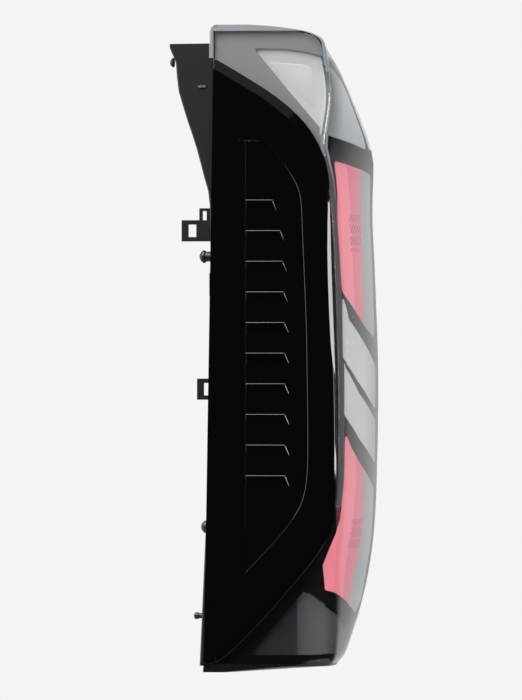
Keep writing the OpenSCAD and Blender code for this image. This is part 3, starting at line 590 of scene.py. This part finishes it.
class LAMP_OT_side_panel(bpy.types.Operator):
    """Louvred side panel with fine rounded edges"""

    bl_idname = "lamp.side_panel"
    bl_label = "Side panel"

    def execute(self, context):
        refined("side_louvre_panel", piano_black(), sizes().panel_edge, angle=12,
                clamp=False)
        return {"FINISHED"}


class LAMP_OT_housing(bpy.types.Operator):
    """Moulded housing with its tabs, hook and screw ears"""

    bl_idname = "lamp.housing"
    bl_label = "Housing"

    def execute(self, context):
        start = place(RIM_START, 0, PAINT_LOW)
        split = cut_at([(0, 0, 1, start.z), (1, 0, 0, start.x)])
        crown_rim(
            refined("housing", black_abs(), sizes().moulded_edge, split, angle=32)
        )
        return {"FINISHED"}


class LAMP_OT_inner_bezel(bpy.types.Operator):
    """Bezel behind the lens"""

    bl_idname = "lamp.inner_bezel"
    bl_label = "Inner bezel"

    def execute(self, context):
        refined("inner_bezel", bezel_paint(), sizes().small_edge, angle=35)
        return {"FINISHED"}


class LAMP_OT_light_guides(bpy.types.Operator):
    """Red light guides"""

    bl_idname = "lamp.light_guides"
    bl_label = "Light guides"

    def execute(self, context):
        for node in ("upper_light_guide", "lower_light_guide"):
            refined(node, red_guide(), sizes().small_edge, angle=35)
        return {"FINISHED"}


class LAMP_OT_diffusers(bpy.types.Operator):
    """Pale diffusers and the two slanted bars"""

    bl_idname = "lamp.diffusers"
    bl_label = "Diffusers"

    def execute(self, context):
        pale = frosted("pale_frosted_polycarbonate", colours().pale, 9)
        # The bars are painted darker towards their inboard end, as painted shade
        white = frosted("white_frosted_polycarbonate", colours().white, 12, 0.55)
        for node in ("upper_side_diffuser", "lower_side_diffuser"):
            refined(node, pale, sizes().small_edge, angle=35)
        for node in ("upper_bar_diffuser", "lower_bar_diffuser"):
            refined(node, white, sizes().small_edge, angle=35)
        return {"FINISHED"}


class LAMP_OT_reflectors(bpy.types.Operator):
    """Metallised reflectors behind the corner windows and the bars"""

    bl_idname = "lamp.reflectors"
    bl_label = "Reflectors"

    def pad(self, material):
        """Raised pad on the side face of the upper corner reflector, with soft edges. Its base
        lies in the reflector's wall."""
        bm = bmesh.new()
        outline = [(47, 471.2), (74, 469), (80.5, 466.8), (83.6, 461), (84.2, 433)]
        depth, height = 6.3, 0.9
        base = [bm.verts.new(place(x, depth, z)) for x, z in outline]
        top = bmesh.ops.extrude_face_region(bm, geom=[bm.faces.new(base)])
        verts = [v for v in top["geom"] if isinstance(v, bmesh.types.BMVert)]
        bmesh.ops.translate(bm, verts=verts, vec=(0, -height * MM, 0))
        bmesh.ops.recalc_face_normals(bm, faces=bm.faces)
        rim = [e for e in bm.edges if all(v in verts for v in e.verts)]
        bmesh.ops.bevel(bm, geom=rim, offset=0.8 * MM, segments=3, profile=0.5, material=-1,
                        affect="EDGES")
        smooth(bm, math.radians(35))
        mesh = bpy.data.meshes.new("upper_reflector_pad_mesh")
        bm.to_mesh(mesh)
        bm.free()
        mesh.materials.append(material)
        made = in_scene("upper_reflector_pad", mesh)
        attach(made, "root")

    def execute(self, context):
        silver = corner_silver()
        refined("upper_corner_reflector", silver, angle=35)
        refined("lower_corner_reflector", corner_smoke(), angle=35)
        self.pad(silver)
        refined("bar_reflector", silver, sizes().small_edge)
        return {"FINISHED"}


class LAMP_OT_electronics(bpy.types.Operator):
    """Boards, LED packages, driver and cooler"""

    bl_idname = "lamp.electronics"
    bl_label = "Electronics"

    def execute(self, context):
        board = plain("glass_epoxy_board", "#1E5C3A", 0.35, 0.5, 1.2)
        led = plain("led_phosphor", "#E9D36A", 0.2, 0.3, 0.8)
        carrier = plain("grey_filled_nylon", "#3B3E41", 0.45, 0.6, 1.0)
        for node in ("upper_led_board", "bar_led_board", "lower_led_board", "driver_board"):
            dress(node, board)
        for node in ("upper_leds", "bar_leds", "lower_leds"):
            dress(node, led)
        for node in ("board_carrier", "driver_cover"):
            refined(node, carrier, sizes().small_edge)
        refined(
            "heat_sink", plain("extruded_aluminium", "#B4B8BB", 0.3, 0.45, 0.8, metallic=1.0),
            sizes().small_edge,
        )
        return {"FINISHED"}


class LAMP_OT_connector(bpy.types.Operator):
    """Connector socket and its pins"""

    bl_idname = "lamp.connector"
    bl_label = "Connector"

    def execute(self, context):
        nylon = plain("black_filled_nylon", "#1A1B1D", 0.4, 0.55, 0.8)
        refined("connector_socket", nylon, sizes().moulded_edge)
        refined(
            "connector_pins", plain("tinned_brass", "#C9A24A", 0.2, 0.3, 0.6, metallic=1.0),
            sizes().sheet_edge,
        )
        return {"FINISHED"}


class LAMP_OT_seals(bpy.types.Operator):
    """Bonding bead, foam gasket and rubber buffer"""

    bl_idname = "lamp.seals"
    bl_label = "Seals"

    def execute(self, context):
        split = cut_at([(0, 0, 1, place(0, 0, PAINT_LOW).z)])
        bead = plain("bonding_bead", "#08080A", 0.3, 0.45, 1.5)
        crown_rim(refined("lens_seal", bead, shape=split))
        foam = plain("closed_cell_foam", "#26272A", 0.8, 0.95, 1.4, height=0.25)
        refined("body_gasket", foam, sizes().moulded_edge, angle=40)
        rubber = plain("moulded_rubber", "#141516", 0.6, 0.75, 0.7)
        refined("rubber_buffer", rubber, sizes().small_edge)
        return {"FINISHED"}


class LAMP_OT_fixings(bpy.types.Operator):
    """Studs, pin, sleeves, screws, clip and vent caps"""

    bl_idname = "lamp.fixings"
    bl_label = "Fixings"

    def execute(self, context):
        nylon = plain("black_nylon", "#17181A", 0.3, 0.42, 0.8)
        zinc = plain("zinc_plated_steel", "#B9BDC0", 0.25, 0.4, 0.9, metallic=1.0)
        spring = plain("bright_spring_steel", "#6C6F72", 0.3, 0.4, 0.9, metallic=1.0)
        refined("ball_studs", nylon)
        refined("locating_pin", nylon)
        refined("screw_sleeves", zinc, sizes().small_edge)
        refined("board_screws", zinc, sizes().small_edge)
        refined("spring_clip", spring, sizes().sheet_edge)
        refined(
            "vent_caps", plain("white_vent_membrane", "#D6D6D0", 0.6, 0.8, 0.8),
            sizes().small_edge,
        )
        return {"FINISHED"}


class LAMP_OT_stage(bpy.types.Operator):
    """Camera, floor, studio lamps and world"""

    bl_idname = "lamp.stage"
    bl_label = "Stage"

    def around(self, azimuth, elevation, distance):
        """A point round the lamp. Azimuth 0 is in front of the side panel, 90 behind the car."""
        flat = distance * math.cos(elevation)
        return self.centre + Vector(
            (flat * math.sin(azimuth), -flat * math.cos(azimuth), distance * math.sin(elevation))
        )

    def softbox(self, name, azimuth, elevation, distance, width, height, radiance):
        """Area lamp that faces the object. radiance is what a mirror would show of it."""
        data = bpy.data.lights.new(name, "AREA")
        data.shape = "RECTANGLE"
        data.size = width
        data.size_y = height
        data.energy = radiance * math.pi * width * height
        lamp = bpy.data.objects.new(name, data)
        bpy.context.scene.collection.objects.link(lamp)
        lamp.location = self.around(math.radians(azimuth), math.radians(elevation), distance)
        lamp.rotation_euler = (self.centre - lamp.location).to_track_quat("-Z", "Y").to_euler()
        lamp.visible_camera = False

    def camera(self):
        """Camera at the photograph's viewing angle."""
        data = bpy.data.cameras.new("camera")
        camera = bpy.data.objects.new("camera", data)
        bpy.context.scene.collection.objects.link(camera)
        camera.location = self.around(stage().azimuth, 0, stage().distance)
        camera.rotation_euler = (self.centre - camera.location).to_track_quat("-Z", "Y").to_euler()
        # The sensor's width lies along the picture's long side, its height
        data.lens = data.sensor_width * stage().distance / stage().frame_height
        data.clip_end = 100
        bpy.context.scene.camera = camera

    def floor(self):
        """Plain pale floor below the lamp."""
        bm = bmesh.new()
        bmesh.ops.create_circle(bm, cap_ends=True, radius=stage().floor_radius, segments=96)
        bmesh.ops.translate(bm, verts=bm.verts, vec=(0, 0, -stage().floor_drop))
        mesh = bpy.data.meshes.new("floor")
        bm.to_mesh(mesh)
        bm.free()
        floor = in_scene("floor", mesh)
        mesh.materials.append(plain("pale_studio_floor", "#A8A8A8", 0.7, 0.8, 40, 0.1))

    def world(self):
        """Pale to the eye. A mirror sees it dark in front, and brighter behind and overhead."""
        world = bpy.data.worlds.new("studio")
        bpy.context.scene.world = world
        world.use_nodes = True
        tree = world.node_tree
        tree.nodes.clear()
        point = add(tree, "ShaderNodeTexCoord").outputs["Generated"]

        def glow(azimuth, elevation, stops):
            """Radiance by the angle from one direction. stops are (cosine, radiance)."""
            axis = self.around(math.radians(azimuth), math.radians(elevation), 1) - self.centre
            near = add(tree, "ShaderNodeVectorMath", {1: axis}, {0: point},
                       operation="DOT_PRODUCT")
            ramp = add(tree, "ShaderNodeValToRGB", None, {"Fac": near.outputs["Value"]})
            # A ramp starts with two elements
            for _ in stops[2:]:
                ramp.color_ramp.elements.new(0.5)
            for element, (cosine, value) in zip(ramp.color_ramp.elements, stops):
                element.position = cosine
                element.color = (value, value, value, 1)
            return ramp.outputs["Color"]

        behind = glow(185, 0, [(0.8, 0.02), (0.885, 0.03), (0.92, 0.15), (0.955, 0.18),
                               (0.985, 0.15), (1.0, 0.12)])
        above = glow(-40, 60, [(0.6, 0.0), (0.72, 0.1), (0.88, 0.4), (1.0, 1.0)])
        side = glow(-130, 10, [(0.2, 0.0), (0.6, 0.5), (1.0, 0.8)])
        first = add(tree, "ShaderNodeMix", {"Factor": 1.0}, {"A": behind, "B": above},
                    data_type="RGBA", blend_type="ADD")
        both = add(tree, "ShaderNodeMix", {"Factor": 1.0},
                   {"A": first.outputs["Result"], "B": side}, data_type="RGBA", blend_type="ADD")
        seen = add(tree, "ShaderNodeBackground", {"Color": srgb("#F4F4F4")})
        mirrored = add(tree, "ShaderNodeBackground", None, {"Color": both.outputs["Result"]})
        path = add(tree, "ShaderNodeLightPath")
        mix = add(
            tree, "ShaderNodeMixShader", None,
            {0: path.outputs["Is Camera Ray"], 1: mirrored.outputs[0], 2: seen.outputs[0]},
        )
        add(tree, "ShaderNodeOutputWorld", links={"Surface": mix.outputs[0]})

    def execute(self, context):
        # The middle of what the camera sees
        self.centre = place(42.5, 0, 248.8)
        self.camera()
        self.floor()
        self.world()
        self.softbox("rear strip", 71.5, 2.2, 1.8, 1.65, 0.425, 14)
        self.softbox("left softbox", -72, 0, 2.0, 0.8, 1.6, 5)
        self.softbox("key softbox", -40, 45, 2.0, 1.2, 1.2, 10.5)
        self.softbox("overhead softbox", -12, 72, 2.0, 1.2, 0.8, 10)
        self.softbox("front chamfer card", -12, 31, 2.2, 1.4, 0.5, 0.3)
        context.scene.view_settings.view_transform = "Standard"
        return {"FINISHED"}


class LAMP_PT_pieces(bpy.types.Panel):
    """Lists the lamp's pieces"""

    bl_idname = "LAMP_PT_pieces"
    bl_label = "Tail Light"
    bl_space_type = "VIEW_3D"
    bl_region_type = "UI"
    bl_category = "Tail Light"

    def draw(self, context):
        for operator in OPERATORS:
            self.layout.operator(operator.bl_idname)


OPERATORS = (
    LAMP_OT_stage,
    LAMP_OT_outer_lens,
    LAMP_OT_side_panel,
    LAMP_OT_housing,
    LAMP_OT_inner_bezel,
    LAMP_OT_light_guides,
    LAMP_OT_diffusers,
    LAMP_OT_reflectors,
    LAMP_OT_electronics,
    LAMP_OT_connector,
    LAMP_OT_seals,
    LAMP_OT_fixings,
)
CLASSES = (LampSizes, LampColours, LampStage, *OPERATORS, LAMP_PT_pieces)


def register():
    for cls in CLASSES:
        bpy.utils.register_class(cls)
    bpy.types.Scene.lamp_sizes = PointerProperty(type=LampSizes)
    bpy.types.Scene.lamp_colours = PointerProperty(type=LampColours)
    bpy.types.Scene.lamp_stage = PointerProperty(type=LampStage)


def unregister():
    del bpy.types.Scene.lamp_stage
    del bpy.types.Scene.lamp_colours
    del bpy.types.Scene.lamp_sizes
    for cls in reversed(CLASSES):
        bpy.utils.unregister_class(cls)


def main():
    register()
    for operator in OPERATORS:
        group, name = operator.bl_idname.split(".")
        getattr(getattr(bpy.ops, group), name)()


if __name__ == "__main__":
    main()
